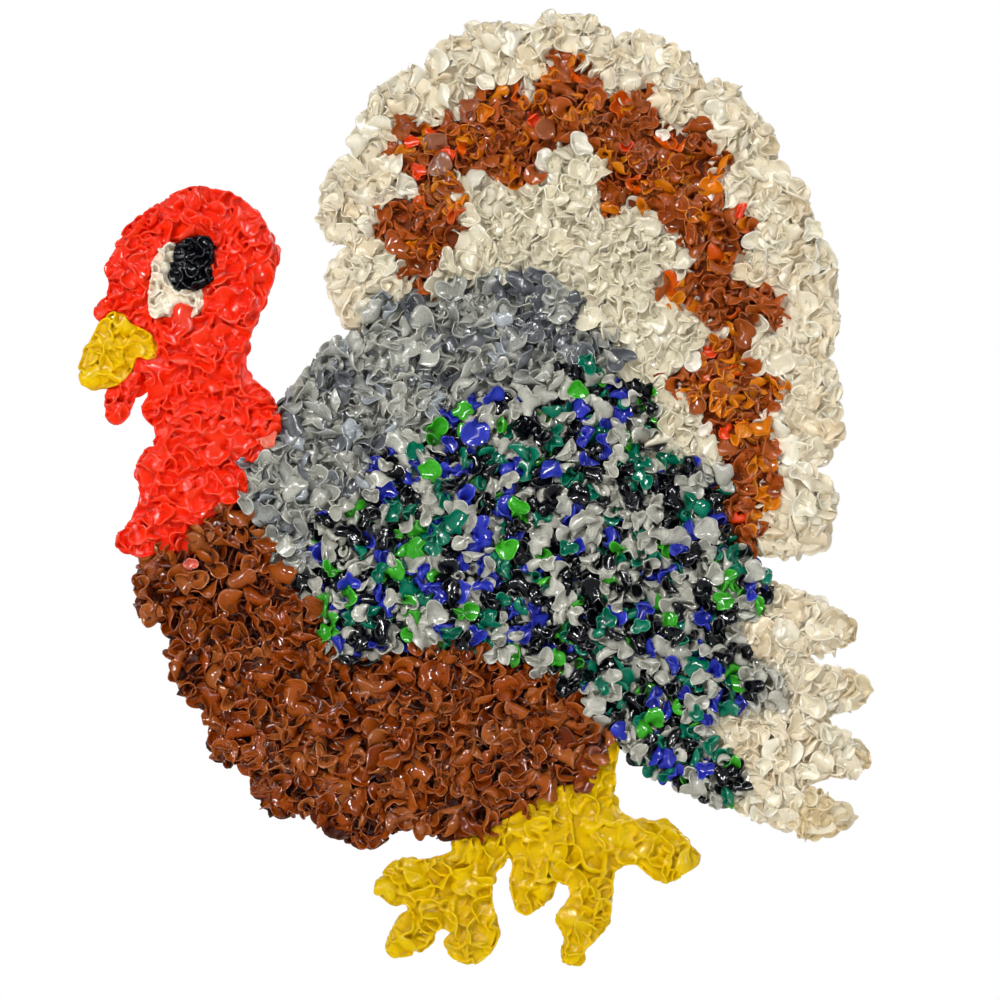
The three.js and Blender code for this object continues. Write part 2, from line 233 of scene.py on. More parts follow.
# Where a field has other colours: their palette, then across, down and reach of each patch in pixels
PATCHES = {
    "back": (DARK_GREYS, [
        (415, 305, 15), (472, 335, 16), (510, 277, 20), (545, 280, 18), (533, 328, 18), (576, 312, 14),
        (336, 386, 16), (292, 426, 14), (410, 368, 12), (442, 383, 10), (270, 525, 12), (365, 448, 12),
    ]),
    "band": (HONEYS, [
        (415, 135, 22), (455, 140, 12), (440, 197, 26), (505, 87, 14), (571, 75, 12), (535, 116, 15),
        (588, 126, 12), (618, 160, 15), (635, 195, 16), (628, 96, 13), (668, 152, 18), (692, 192, 12),
        (712, 252, 16), (678, 292, 15), (745, 325, 18), (725, 375, 24), (745, 398, 18), (765, 378, 12),
        (742, 430, 22), (758, 475, 14), (764, 508, 12), (700, 398, 14),
    ]),
    "wing": (SMOKY_WHITES, [(782, 702, 20)]),
    "tips": (TANS, [(850, 630, 14), (862, 690, 14), (866, 752, 14), (830, 815, 30)]),
}

# Lowest and highest bend of each kind of curl: the cup, then one to five waves round the rim
CURLS = [
    [(0.2, 0.9), (0.0, 0.4), (0.3, 0.9), (0.8, 1.5), (0.1, 0.5), (0.0, 0.35)],
    [(0.8, 1.35), (0.0, 0.4), (0.8, 1.35), (0.2, 0.7), (0.1, 0.4), (0.0, 0.3)],
    [(-0.3, 0.3), (0.9, 1.6), (0.4, 1.1), (0.3, 0.9), (0.1, 0.4), (0.0, 0.3)],
    [(0.9, 1.5), (0.0, 0.3), (0.1, 0.5), (0.2, 0.7), (0.1, 0.35), (0.0, 0.25)],
]
FOLD = 1
CRUMPLED_SHARES = (0.32, 0.24, 0.2, 0.24)
PETAL_SHARES = (0.34, 0.2, 0.16, 0.3)


def at(across, down):
    """The place in the wall's plane that a pixel of the photograph shows."""
    return (across - MIDDLE_PIXEL[0]) * PIXEL, (MIDDLE_PIXEL[1] - down) * PIXEL


def field_rng(name):
    """Random numbers that stay the same for a field when another field changes."""
    return np.random.default_rng([SEED, *name.encode()])


# Outlines of the solids

def flat_back(obj):
    """A solid's flat back by itself, open for editing."""
    work = bmesh.new()
    work.from_mesh(obj.data)
    bmesh.ops.remove_doubles(work, verts=work.verts, dist=WELD)
    rest = [f for f in work.faces if any(abs(v.co.y) > FLAT for v in f.verts)]
    bmesh.ops.delete(work, geom=rest, context="FACES")
    return work


def outward(start, end, middle):
    """The direction in the wall's plane that leads over an edge, away from its face's middle."""
    along = (end - start).normalized()
    out = Vector((along.z, 0, -along.x))
    if out.dot(start - middle) < 0:
        out.negate()
    return out


def rim_points(obj):
    """Points along a solid's outline and the outward direction at each."""
    work = flat_back(obj)
    points, outs = [], []
    for face in work.faces:
        for loop in face.loops:
            if len(loop.edge.link_faces) == 1:
                start, end = loop.vert.co, loop.link_loop_next.vert.co
                count = max(1, round((end - start).length / RIM_STEP))
                points += [start.lerp(end, (step + 0.5) / count) for step in range(count)]
                outs += [outward(start, end, face.calc_center_median())] * count
    work.free()
    return points, outs


def tree_of(objects):
    """A tree of the objects' faces, for rays."""
    corners, faces = [], []
    for obj in objects:
        first = len(corners)
        corners += [v.co.copy() for v in obj.data.vertices]
        faces += [[first + i for i in p.vertices] for p in obj.data.polygons]
    return BVHTree.FromPolygons(corners, faces)


def point_tree(points):
    """A tree that finds the nearest of these points."""
    tree = KDTree(len(points))
    for index, point in enumerate(points):
        tree.insert(point, index)
    tree.balance()
    return tree


def front_of(tree, x, z):
    """The place and slope of the front surface at a point of the wall's plane."""
    return tree.ray_cast(Vector((x, -RAY_START, z)), Vector((0, 1, 0)), RAY_REACH)[:2]


def inside(tree, x, z):
    """Whether a point of the wall's plane lies behind a tree's faces."""
    return front_of(tree, x, z)[0] is not None


whole_tree = tree_of(NODES.values())
node_trees = {name: tree_of([obj]) for name, obj in NODES.items()}


def at_open_edge(point, out):
    """Whether nothing of the turkey lies just outside a place on a node's outline."""
    beyond = point + out * NEAR_OUTSIDE
    return not inside(whole_tree, beyond.x, beyond.z)


open_rims = {
    name: [spot for spot in zip(*rim_points(obj)) if at_open_edge(*spot)] for name, obj in NODES.items()
}
open_tree = point_tree([point for rim in open_rims.values() for point, _ in rim])


def against_mould(point):
    """Whether a place on the outline lay against the mould's smooth wall."""
    limit_x, limit_z = at(*SMOOTH_CORNER_PIXEL)
    return point.x > limit_x and point.z > limit_z


def edge_of(node):
    """A tree of the points along a node's outline, and the outward direction at each."""
    points, outs = rim_points(NODES[node])
    return point_tree(points), outs


def hold_inside(corners, place, edge, room):
    """Corners drawn back where they leave the outline of the chip's node.

    Each is followed out from the chip's middle, so that it stays on its own side of a gap. It ends
    at the mould's wall, or where it sticks out of the outline as far as there is room.
    """
    tree, outs = edge
    for corner in corners:
        across, up = corner[0] - place.x, corner[2] - place.z
        for step in range(1, HOLD_STEPS + 1):
            x, z = place.x + across * step / HOLD_STEPS, place.z + up * step / HOLD_STEPS
            if not inside(node_trees[place.node], x, z):
                break
        else:
            continue
        point, index, _ = tree.find((x, 0, z))
        out = outs[index]
        walled = open_tree.find(point)[2] < NEAR_OUTSIDE and against_mould(point)
        free = min(room, 0) if walled else room
        over = (x - point.x) * out.x + (z - point.z) * out.z
        if step < HOLD_STEPS or over > free:
            corner[0] = x + out.x * (free - over)
            corner[2] = z + out.z * (free - over)


# Places of the chips

def place_on(node, x, z, out=None):
    """A chip's place: its height over the wall and its slope are those of the solid's front."""
    spot, slope = front_of(node_trees[node], x, z)
    return SimpleNamespace(x=x, z=z, height=-spot.y, slope=slope, out=out, node=node)


def middle_of(node):
    """The middle of a node in the wall's plane."""
    low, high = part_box(node)
    return (low.x + high.x) / 2, (low.z + high.z) / 2


def scatter(rng, nodes, spacing, inset, kept):
    """Places spaced evenly over the nodes' outlines: first along the open edge, then inside."""
    cell = spacing / math.sqrt(2)
    taken = {(int(x // cell), int(z // cell)): (x, z) for x, z in kept}
    places = []

    def clear(x, z):
        column, row = int(x // cell), int(z // cell)
        for i in range(column - 2, column + 3):
            for j in range(row - 2, row + 3):
                other = taken.get((i, j))
                if other and math.hypot(other[0] - x, other[1] - z) < spacing:
                    return False
        return True

    def keep(x, z, out, node):
        taken[int(x // cell), int(z // cell)] = (x, z)
        places.append(place_on(node, x, z, out))

    for node in nodes:
        rim = open_rims[node]
        for index in rng.permutation(len(rim)):
            point, out = rim[index]
            spot = point - out * rng.uniform(*inset)
            if clear(spot.x, spot.z) and inside(node_trees[node], spot.x, spot.z):
                keep(spot.x, spot.z, out, node)
        low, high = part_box(node)
        tries = round(TRIES_PER_SPOT * (high.x - low.x) * (high.z - low.z) / spacing ** 2)
        for x, z in zip(rng.uniform(low.x, high.x, tries), rng.uniform(low.z, high.z, tries)):
            if clear(x, z) and inside(node_trees[node], x, z):
                if open_tree.find(Vector((x, 0, z)))[2] > inset[1]:
                    keep(x, z, None, node)
    return places


# Shape of a chip

def chip_grid(steps):
    """A round grid of squares from -1 to 1 that has no middle pinch."""
    line = np.linspace(-1, 1, steps + 1)
    line = np.sign(line) * np.abs(line) ** GRID_CROWDING
    a, b = np.meshgrid(line, line, indexing="ij")
    return a * np.sqrt(1 - b * b / 2), b * np.sqrt(1 - a * a / 2)


def border_order(steps):
    """Places of the grid's border points, in order round the chip."""
    n = steps
    walk = [(0, j) for j in range(n)] + [(i, n) for i in range(n)]
    walk += [(n, n - j) for j in range(n)] + [(n - i, 0) for i in range(n)]
    return np.array([i * (n + 1) + j for i, j in walk])


def inner_order(steps):
    """The grid point one step in from each border point."""
    row, column = np.divmod(border_order(steps), steps + 1)
    return row.clip(1, steps - 1) * (steps + 1) + column.clip(1, steps - 1)


def chip_faces(steps):
    """Quads of one chip: its top, its underside and the round rim between them."""
    size = (steps + 1) ** 2
    corner = np.arange(size).reshape(steps + 1, steps + 1)
    top = [corner[:-1, :-1], corner[1:, :-1], corner[1:, 1:], corner[:-1, 1:]]
    top = np.stack(top, -1).reshape(-1, 4)
    edge = border_order(steps)
    ahead = np.roll(edge, -1)
    rim = 2 * size + np.arange(len(edge))
    rim_ahead = np.roll(rim, -1)
    upper = np.stack([edge, ahead, rim_ahead, rim], -1)
    lower = np.stack([rim, rim_ahead, ahead + size, edge + size], -1)
    return np.concatenate([top, top[:, ::-1] + size, upper, lower])


def chip_shapes(chips, steps):
    """The sheet through the middle of every chip, in its own frame.

    Each radius of the flat chip is bent as it goes out. How far it bends changes round the chip,
    which curls one part of the rim up and the next one down.
    """
    def wide(values):
        return np.asarray(values)[:, None, None]

    gx, gy = chip_grid(steps)
    radius = np.hypot(gx, gy)
    angle = np.arctan2(gy, gx)
    outline = 1.0
    for lobes, size, phase in chips.lobes:
        outline = outline + wide(size) * np.cos(lobes * angle + wide(phase)) * radius
    near = wide(chips.cup)
    far = 0.0
    for lobes, bend, phase in chips.curls:
        wave = wide(bend) * np.cos(lobes * angle + wide(phase))
        if lobes < 3:
            near = near + wave
        else:
            far = far + wave
    along = 0.0
    up = 0.0
    for step in range(BEND_STEPS):
        part = radius * (step + 0.5) / BEND_STEPS
        slope = part * near + part ** 2 * far
        along = along + np.cos(slope) / BEND_STEPS
        up = up + np.sin(slope) / BEND_STEPS
    reach = wide(chips.radius) * outline * radius
    turn = angle + wide(chips.swirl) * radius
    return np.stack([reach * along * np.cos(turn), reach * along * np.sin(turn), reach * up], -1)


def thicken(middle, thickness):
    """Corners of the chips' tops, undersides and rims, from the sheets through their middles."""
    steps = middle.shape[1] - 1
    normal = np.cross(np.gradient(middle, axis=1), np.gradient(middle, axis=2))
    normal /= np.linalg.norm(normal, axis=-1, keepdims=True) + TINY
    count = len(middle)
    middle = middle.reshape(count, -1, 3)
    normal = normal.reshape(count, -1, 3)
    edge = border_order(steps)
    border = middle[:, edge]
    ring = np.roll(border, -1, 1) - np.roll(border, 1, 1)
    out = np.cross(normal[:, edge], ring)
    out /= np.linalg.norm(out, axis=-1, keepdims=True) + TINY
    inner = middle[:, inner_order(steps)]
    out *= -np.sign((out * (inner - border)).sum(-1, keepdims=True))
    half = thickness / 2
    half_at = np.full((1, middle.shape[1], 1), half)
    half_at[:, edge] *= RIM_THICKNESS_SHARE
    return np.concatenate([
        middle + normal * half_at,
        middle - normal * half_at,
        border + out * half * RIM_ROUND_SHARE,
    ], axis=1)


def rim_shares(steps):
    """How near each corner of a chip is to its rim, which carries the painted highlight, and to its middle,
    where a dimple's painted shade goes.
    """
    edge = border_order(steps)
    rim = np.zeros((steps + 1) ** 2)
    rim[edge] = BORDER_HIGHLIGHT_SHARE
    radius = np.hypot(*chip_grid(steps)).ravel()
    ones = np.ones(len(edge))
    return np.concatenate([rim, rim, ones]), np.concatenate([radius, radius, ones])


def stand(corners, chips):
    """Chips turned by their spin and tilt, and moved to their places."""
    tilt, lean, spin = chips.tilt, chips.lean, chips.spin
    facing = np.stack([np.sin(tilt) * np.cos(lean), -np.cos(tilt), np.sin(tilt) * np.sin(lean)], -1)
    hint = np.stack([np.cos(spin), np.zeros_like(spin), np.sin(spin)], -1)
    first = hint - facing * (hint * facing).sum(-1, keepdims=True)
    first /= np.linalg.norm(first, axis=-1, keepdims=True)
    axes = np.stack([first, np.cross(facing, first), facing], 1)
    return corners @ axes[:, None] + chips.place[:, None, None, :]


# Layers of chips

def styled(style, **changes):
    """A style with some of its values changed."""
    return SimpleNamespace(**{**vars(style), **changes})


# Ranks of the layers, from the front to the back
NOTED_RANK, FRONT, LEVEL, TUCKED, MIDDLE_RANK, BACK_RANK = -1.0, 0.0, 1.0, 1.5, 2, 3

# How the chips of a layer are made and laid. Kinds mixes the kinds of curl. Level is the share of
# the solid's height that they lie at, lift moves them towards the wall, follow turns them with the
# solid's slope, and proud is how far they may stand out of it. Those that are held stick out of
# the outline no farther than the range given, and those that yield leave room for noted ones.
TOP = SimpleNamespace(
    radius=(7.0 * MM, 9.6 * MM), thickness=0.75 * MM, kinds=CRUMPLED_SHARES, curl=1.0, tilt=0.75,
    most_tilt=1.35, edge_spread=0.9, level=1.0, lift=(-3.4 * MM, -0.8 * MM), follow=0.7, steps=14,
    spacing=7.2 * MM, inset=(4.4 * MM, 6.0 * MM), proud=2.0 * MM, rank=LEVEL, held=None, yields=True,
)
UPPER = styled(
    TOP, tilt=0.7, most_tilt=1.25, level=0.68, lift=(-2.0 * MM, 0.0 * MM), follow=0.6, steps=11,
    spacing=7.4 * MM, inset=(4.8 * MM, 6.2 * MM), proud=0,
)
MIDDLE = styled(
    UPPER, curl=0.8, tilt=0.45, most_tilt=0.9, level=0.34, lift=(-1.0 * MM, 0.6 * MM), follow=0.3, steps=8,
    spacing=6.6 * MM, inset=(5.2 * MM, 6.4 * MM), rank=MIDDLE_RANK, yields=False,
)
BACK = styled(
    MIDDLE, radius=(5.6 * MM, 7.2 * MM), thickness=1.8 * MM, curl=0.04, tilt=0.03, most_tilt=0.07,
    edge_spread=3.0, level=0.0, lift=(1.15 * MM, 1.55 * MM), follow=0.0, steps=6, spacing=8.2 * MM,
    inset=(5.4 * MM, 6.4 * MM), rank=BACK_RANK,
)
PLACED = styled(TOP, lift=(-2.0 * MM, -1.0 * MM), curl=0.8, rank=NOTED_RANK)
LONE = styled(TOP, radius=(4.2 * MM, 5.2 * MM), lift=(-2.6 * MM, -1.4 * MM), tilt=0.5, most_tilt=0.9)
LONE_UNDER = styled(MIDDLE, radius=LONE.radius, tilt=0.1, most_tilt=0.2, curl=0.4)


def pick_colours(rng, palette, count):
    """A colour for each chip, taken from a palette by its shares."""
    shares = np.array([share for share, _ in palette])
    chosen = rng.choice(len(palette), count, p=shares / shares.sum())
    colours = np.array([linear(*colour) for _, colour in palette])[chosen]
    return colours * rng.uniform(*SHADES, (count, 1))


def patch_colours(rng, field, places, colours):
    """The same colours, but with those of its patches where a patch lies."""
    spots = np.array([(place.x, place.z) for place in places])
    palette, patches = PATCHES.get(field, (None, []))
    for across, down, reach in patches:
        near = np.hypot(*(spots - at(across, down)).T) < reach * PIXEL
        colours[near] = pick_colours(rng, palette, near.sum())
    return colours


def curls(rng, kinds, count, strength):
    """Bends of the chips, in radians at the rim, for the kinds of curl that a field mixes."""
    kind = rng.choice(len(CURLS), count, p=kinds)
    ranges = np.array(CURLS)[kind]
    bends = rng.uniform(ranges[..., 0], ranges[..., 1]) * strength
    phases = rng.uniform(0, math.tau, (count, len(CURLS[0])))
    folded = kind == FOLD
    bends[folded, 2] = bends[folded, 0]
    return bends, phases


def chip_set(rng, places, style):
    """Every number that shapes and places the chips of a layer."""
    count = len(places)
    radius = rng.uniform(*style.radius, count)
    bends, phases = curls(rng, style.kinds, count, style.curl)
    tilt = np.abs(rng.normal(style.tilt, style.tilt * TILT_SPREAD_SHARE, count))
    lean = rng.uniform(0, math.tau, count)
    for index, place in enumerate(places):
        if place.out is not None:
            lean[index] = math.atan2(place.out.z, place.out.x) + rng.normal(0, style.edge_spread)
    slope = np.array([tuple(place.slope) for place in places])
    ahead = np.tan(tilt) * np.cos(lean) - style.follow * slope[:, 0] / slope[:, 1]
    up = np.tan(tilt) * np.sin(lean) - style.follow * slope[:, 2] / slope[:, 1]
    height = np.array([place.height for place in places])
    spots = np.array([[place.x, 0, place.z] for place in places])
    spots[:, 1] = -(height * style.level + rng.uniform(*style.lift, count))
    return SimpleNamespace(
        radius=radius,
        cup=bends[:, 0] * np.where(rng.random(count) < CUPPED_SHARE, 1, -1),
        curls=[(waves, bends[:, waves], phases[:, waves]) for waves in range(1, bends.shape[1])],
        swirl=rng.uniform(-SWIRL, SWIRL, count),
        lobes=[
            (waves, rng.uniform(0, LOBE_SIZE / waves, count), rng.uniform(0, math.tau, count))
            for waves in LOBES
        ],
        tilt=np.arctan(np.hypot(ahead, up)).clip(0, style.most_tilt),
        lean=np.arctan2(up, ahead),
        spin=rng.uniform(0, math.tau, count),
        place=spots,
    )


def layer(rng, field, nodes, style, palette):
    """Sheets, faces, colours and rims of one layer of chips, chip by chip."""
    kept = [middle_of(name) for name in NODES if name.startswith(LONE_STARTS)]
    if style.yields:
        kept += [at(*chip[:2]) for chip in NOTED.get(field, [])]
    return laid(rng, field, scatter(rng, nodes, style.spacing, style.inset, kept), style, palette)


def laid(rng, field, places, style, palette):
    """The same, for chips whose places are given."""
    chips = chip_set(rng, places, style)
    sheets = stand(chip_shapes(chips, style.steps), chips)
    limit = np.array([place.height for place in places]) + style.proud
    low = sheets[..., 1].min((1, 2)) + limit
    sheets[..., 1] -= np.minimum(low, 0)[:, None, None]
    sheets[..., 1] = np.minimum(sheets[..., 1], -LEAST_HEIGHT)
    if style.held:
        edges = {node: edge_of(node) for node in sorted({place.node for place in places})}
        rooms = rng.uniform(*style.held, len(places)) - style.thickness / 2
        for sheet, place, room in zip(sheets, places, rooms):
            hold_inside(sheet.reshape(-1, 3), place, edges[place.node], room)
    rim, from_middle = rim_shares(style.steps)
    return SimpleNamespace(
        sheets=sheets,
        thickness=style.thickness,
        field=field,
        rank=style.rank,
        faces=chip_faces(style.steps),
        colours=patch_colours(rng, field, places, pick_colours(rng, palette, len(places))),
        rim=rim,
        rim_highlight_gain=rng.uniform(*RIM_HIGHLIGHT_GAINS, len(places)),
        from_middle=from_middle,
        dimple_shaded=rng.random(len(places)) < SHADED_DIMPLE_SHARE,
        nodes=[place.node for place in places],
        off_wall=rng.uniform(0, BACK_UNEVENNESS, len(places)),
    )


def noted_layer(field, nodes, thickness):
    """The chips of a field that are placed one by one, in front of the others."""
    across, down, radii, tilts, colours = zip(*NOTED[field])
    pixels = list(zip(across, down))
    radii = np.array(radii) * MM
    places = []
    for x, z in (at(*pixel) for pixel in pixels):
        node = min(nodes, key=lambda name: node_trees[name].find_nearest((x, 0, z))[3])
        front, slope = front_of(whole_tree, x, z)
        if front is None:
            front, slope = whole_tree.find_nearest((x, -BED_DEPTH, z))[0], Vector((0, -1, 0))
        places.append(SimpleNamespace(x=x, z=z, height=-front.y, slope=slope, out=None, node=node))
    style = styled(PLACED, radius=(radii, radii), tilt=np.array(tilts), thickness=thickness)
    part = laid(field_rng(f"{field}_noted"), field, places, style, BLACKS)
    part.colours = np.array([linear(*colour) for colour in colours])
    part.dimple_shaded = np.array([pixel in SHADED_DIMPLES for pixel in pixels])
    return part


def field_layers(name, nodes, palettes, chips):
    """The back, middle, upper and top layers of a field, and the chips placed one by one."""
    rng = field_rng(name)
    # The under and between palettes may be darker copies of the top one, which paint shade on the deeper
    # layers
    under, between, over = palettes
    top = styled(TOP, **chips)
    layers = [
        layer(rng, name, nodes, BACK, under),
        layer(rng, name, nodes, styled(MIDDLE, **{**chips, "rank": MIDDLE_RANK}), under),
        layer(rng, name, nodes, styled(UPPER, **chips), between),
        layer(rng, name, nodes, top, over),
    ]
    if name in NOTED:
        layers.append(noted_layer(name, nodes, top.thickness))
    return layers


def lone_layers(start, palette):
    """The odd chips that lie in pockets, each in place of its own solid."""
    rng = field_rng(start)
    nodes = sorted(name for name in NODES if name.startswith(start))
    places = [place_on(node, *middle_of(node)) for node in nodes]
    return nodes, [laid(rng, start, places, style, palette) for style in (LONE_UNDER, LONE)]


# Settling

def finer(sheet):
    """A sheet's points with more points between them, close enough to leave no cell empty."""
    count = (sheet.shape[0] - 1) * FINER + 1
    spot = np.arange(count) / FINER
    low = np.minimum(spot.astype(int), sheet.shape[0] - 2)
    part = (spot - low)[:, None]
    rows = sheet[low] * (1 - part[..., None]) + sheet[low + 1] * part[..., None]
    return rows[:, low] * (1 - part) + rows[:, low + 1] * part


def spread_out(push):
    """The same push, with its edge eased over the neighbouring points."""
    for _ in range(EASE_ROUNDS):
        wide = np.pad(push, 1, mode="edge")
        near = (wide[:-2, 1:-1] + wide[2:, 1:-1] + wide[1:-1, :-2] + wide[1:-1, 2:]) / 4
        push = np.maximum(push, near * EASE_SHARE)
    return push


def settle(layers):
    """Tuck every chip behind the chips in front of it, so that none cuts through another.

    The chips are taken from the front to the back. A map of the wall for each field keeps how
    deep its chips so far reach at each place, and the next chip is pressed down under them.
    Chips of one colour field may sink into each other a little, where they melted together.
    """
    low, high = (np.array(tuple(corner)) for corner in cad_box)
    origin = low[[0, 2]] - MAP_MARGIN
    size = np.ceil((high[[0, 2]] + MAP_MARGIN - origin) / SETTLE_CELL).astype(int)
    fields = sorted({part.field for part in layers})
    reach = np.full((len(fields), *size), -np.inf, np.float32)
    order = [
        (part.rank, part.sheets[index, ..., 1].mean(), number, index)
        for number, part in enumerate(layers) for index in range(len(part.sheets))
    ]
    for _, _, number, index in sorted(order):
        part = layers[number]
        own = fields.index(part.field)
        sheet = part.sheets[index]
        column, row = ((sheet[..., [0, 2]] - origin) / SETTLE_CELL).astype(int).transpose(2, 0, 1)
        under = reach[:, column, row]
        under[own] -= BITES.get(part.field, BITE)
        need = under.max(0) + part.thickness + SETTLE_GAP - sheet[..., 1]
        push = spread_out(np.maximum(need, 0))
        sheet[..., 1] = np.minimum(sheet[..., 1] + push, -LEAST_HEIGHT)
        points = finer(sheet).reshape(-1, 3)
        cells = ((points[:, [0, 2]] - origin) / SETTLE_CELL).astype(int)
        np.maximum.at(reach[own], (cells[:, 0], cells[:, 1]), points[:, 1].astype(np.float32))


# Meshes

def set_values(mesh, values):
    """Keep colours and numbers of a mesh's corners under their names."""
    for key, value in values.items():
        if value.ndim == 2:
            kept = mesh.attributes.new(key, "FLOAT_COLOR", "POINT")
            full = np.concatenate([value, np.ones((len(value), 1))], 1)
            kept.data.foreach_set("color", full.astype(np.float32).ravel())
        else:
            kept = mesh.attributes.new(key, "FLOAT", "POINT")
            kept.data.foreach_set("value", value.astype(np.float32))


def add_object(name, mesh):
    """A new object in the scene."""
    obj = bpy.data.objects.new(name, mesh)
    bpy.context.collection.objects.link(obj)
    return obj


def new_object(name, corners, faces, values):
    """A smooth object made of quads."""
    mesh = bpy.data.meshes.new(name)
    mesh.vertices.add(len(corners))
    mesh.vertices.foreach_set("co", corners.astype(np.float32).ravel())
    mesh.loops.add(faces.size)
    mesh.loops.foreach_set("vertex_index", faces.astype(np.int32).ravel())
    mesh.polygons.add(len(faces))
    mesh.polygons.foreach_set("loop_start", np.arange(0, faces.size, 4, dtype=np.int32))
    mesh.polygons.foreach_set("use_smooth", np.ones(len(faces), bool))
    set_values(mesh, values)
    mesh.update(calc_edges=True)
    mesh.validate()
    return add_object(name, mesh)


def merge(layers, chosen):
    """One list of corners, faces and values for the chosen chips of each layer."""
    corners, faces, tint, rim, from_middle = [], [], [], [], []
    first = 0
    for part, keep in zip(layers, chosen):
        if not len(keep):
            continue
        picked = thicken(part.sheets[keep], part.thickness)
        picked[..., 1] = np.minimum(picked[..., 1], -part.off_wall[keep][:, None])
        count, size = picked.shape[:2]
        corners.append(picked.reshape(-1, 3))
        starts = first + size * np.arange(count)
        faces.append((part.faces[None] + starts[:, None, None]).reshape(-1, 4))
        tint.append(np.repeat(part.colours[keep], size, 0))
        # Rims carry the painted highlight, and the middles of chips with a dimple carry the painted shade.
        rim.append((part.rim[None] * part.rim_highlight_gain[keep][:, None]).ravel())
        centre = np.tile(part.from_middle, count)
        centre[np.repeat(~part.dimple_shaded[keep], size)] = 1
        from_middle.append(centre)
        first += count * size
    values = {"tint": tint, "rim": rim, "from_middle": from_middle}
    values = {key: np.concatenate(value) for key, value in values.items()}
    return np.concatenate(corners), np.concatenate(faces), values


def melted_bed(node, inset, walled_inset, depth):
    """The melted bed behind the chips: the node's flat back, drawn in at its open edge and thickened."""
    work = flat_back(NODES[node])
    moves = {}
    for edge in work.edges:
        if len(edge.link_faces) == 1:
            start, end = (v.co for v in edge.verts)
            out = outward(start, end, edge.link_faces[0].calc_center_median())
            if at_open_edge((start + end) / 2, out):
                for vert in edge.verts:
                    moves.setdefault(vert, []).append(out)
    for vert, outs in moves.items():
        mean = sum(outs, Vector()) / len(outs)
        drawn_in = walled_inset if against_mould(vert.co) else inset
        vert.co -= mean * drawn_in / max(mean.length, SHARPEST_CORNER_SHARE)
    for vert in work.verts:
        vert.co.y = -BED_BACK
    grown = bmesh.ops.extrude_face_region(work, geom=work.faces[:])
    for vert in (g for g in grown["geom"] if isinstance(g, bmesh.types.BMVert)):
        vert.co.y = -depth
    bmesh.ops.recalc_face_normals(work, faces=work.faces)
    mesh = bpy.data.meshes.new(f"{node}_bed")
    work.to_mesh(mesh)
    work.free()
    return add_object(f"{node}_bed", mesh)


def dress(piece, node, material):
    """Hand a finished piece over to the frame."""
    piece.data.materials.clear()
    piece.data.materials.append(material)
    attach(piece, "root")
    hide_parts(node)


# Materials

# Scale, roughness, used range and detail of the noise that makes a plastic uneven
CLOUD_SCALE, SPECK_SCALE, GRAIN_SCALE = 170, 1300, 360
NOISE_ROUGHNESS, SPECK_ROUGHNESS = 0.5, 0.7
NOISE_SPAN, SPECK_SPAN = (0.3, 0.7), (0.36, 0.6)
NOISE_DETAIL = 2.0
FLECK_DARKER, FLECK_PALER = 2, 0.5

# Painted shade of the dimples, gloss and grain of the chips
DIMPLE_SPAN = (0.05, 0.085)
DIMPLE_SHADE = 0.25
GLOSS_SHARES = (0.75, 1.3)
GRAIN_STRENGTH = 0.6
GRAIN_HEIGHT = 0.3 * MM
PLASTIC_IOR = 1.5
UNDER_GLOSS = (0.5, 0.04)

# Painted shade: the darker colours in the creases of the melted fields
CREASE_SHADE_COLOURS = {
    "red_plastic": (202, 10, 0),
    "yellow_plastic": (168, 124, 0),
    "black_plastic": (4, 4, 8),
    "cream_plastic": (206, 180, 148),
}

# How strong the painted highlight on each plastic's rims is, and its colour: the chip's own times a gain,
# plus a pale part
RED_RIM_HIGHLIGHT = (0.6, 1.0, (0.1, 0.09, 0.05))
YELLOW_RIM_HIGHLIGHT = (0.4, 1.05, (0.05, 0.07, 0.01))
PALE_RIM_HIGHLIGHT = (0.8, 1.0, (0.09, 0.08, 0.09))
BLACK_RIM_HIGHLIGHT = (0.3, 1.0, (0.03, 0.03, 0.04))
BROWN_RIM_HIGHLIGHT = (0.6, 1.15, (0.13, 0.1, 0.065))
GREY_RIM_HIGHLIGHT = (0.85, 1.15, (0.12, 0.12, 0.105))
SPECKLED_RIM_HIGHLIGHT = (0.8, 1.2, (0.05, 0.055, 0.05))

